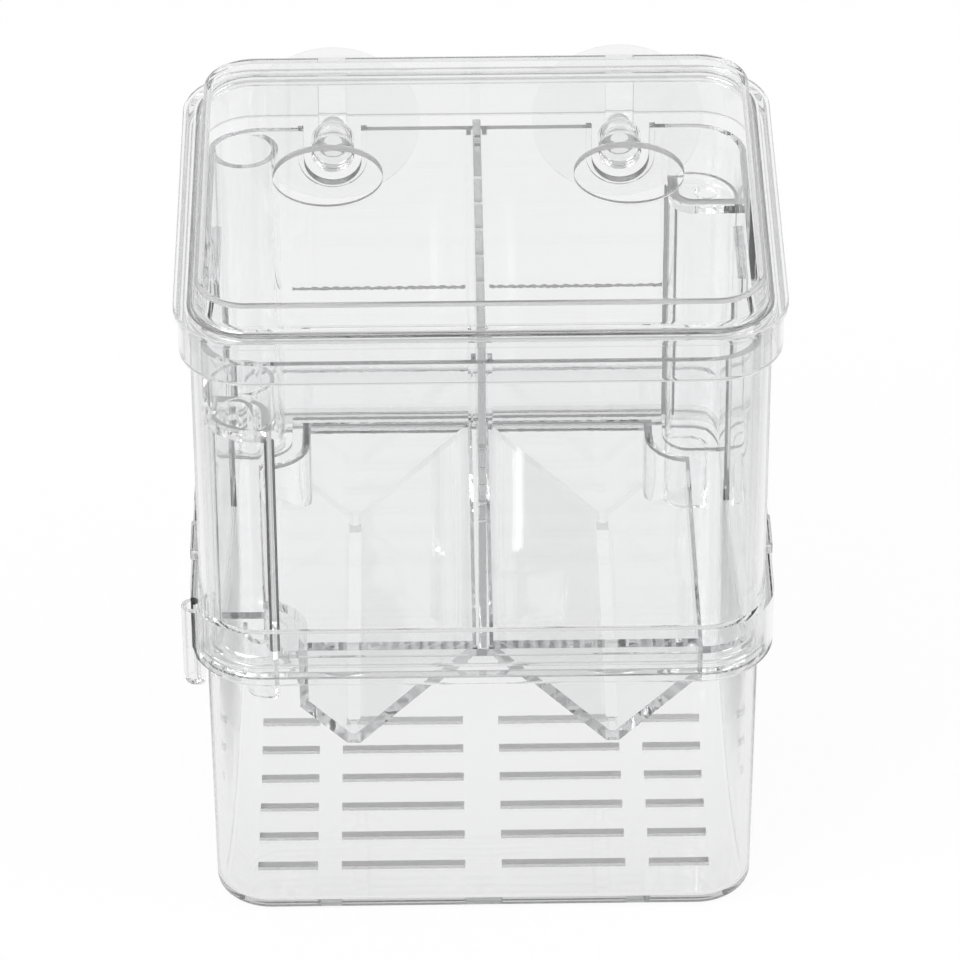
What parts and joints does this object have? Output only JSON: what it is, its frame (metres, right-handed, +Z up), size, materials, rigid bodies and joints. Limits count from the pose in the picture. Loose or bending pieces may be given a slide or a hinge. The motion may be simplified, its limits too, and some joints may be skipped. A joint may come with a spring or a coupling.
{
  "type": "fish breeding box",
  "caption": "A clear plastic fish breeding box: slotted lower box, upper box with a removable spawning tray, V-shaped trough floor, sliding divider, vented lid and suction cups",
  "frame": {"origin": "centre of the flat underside of the lower box, in the plane it rests on", "axes": "+Z up through the lid, +Y towards the suction cups and the aquarium's glass, +X to the right seen from the front"},
  "size_m": [0.1393, 0.1196, 0.1736],
  "materials": {
    "clear_box": "clear moulded polystyrene, polished",
    "soft_clear": "soft clear PVC"
  },
  "bodies": {
    "lower": {"lower_box": "clear_box"},
    "upper": {"upper_box": "clear_box"},
    "tray": {"spawning_tray": "clear_box", "trough_floor": "clear_box"},
    "divider_body": {"divider": "clear_box"},
    "lid_body": {"lid": "clear_box"},
    "cup_left_body": {"cup_left": "soft_clear"},
    "cup_right_body": {"cup_right": "soft_clear"}
  },
  "joints": [
    {"name": "upper_lift", "type": "slide", "parent": "lower", "child": "upper", "axis": [0, 0, 1], "range_m": [0, 0.1]},
    {"name": "lid_lift", "type": "slide", "parent": "upper", "child": "lid_body", "axis": [0, 0, 1], "range_m": [0, 0.25]},
    {"name": "tray_lift", "type": "slide", "parent": "upper", "child": "tray", "axis": [0, 0, 1], "range_m": [0, 0.1]},
    {"name": "divider_lift", "type": "slide", "parent": "tray", "child": "divider_body", "axis": [0, 0, 1], "range_m": [0, 0.09]},
    {"name": "cup_left_turn", "type": "hinge", "parent": "upper", "child": "cup_left_body", "pos_m": [-0.0342, 0.054, 0.15], "axis": [0, 1, 0], "continuous": true},
    {"name": "cup_right_turn", "type": "hinge", "parent": "upper", "child": "cup_right_body", "pos_m": [0.0342, 0.054, 0.15], "axis": [0, 1, 0], "continuous": true}
  ],
  "couplings": [
    {"joint": "tray_lift", "follows": "lid_lift", "ratio": 0.4},
    {"joint": "divider_lift", "follows": "lid_lift", "ratio": 0.36}
  ]
}
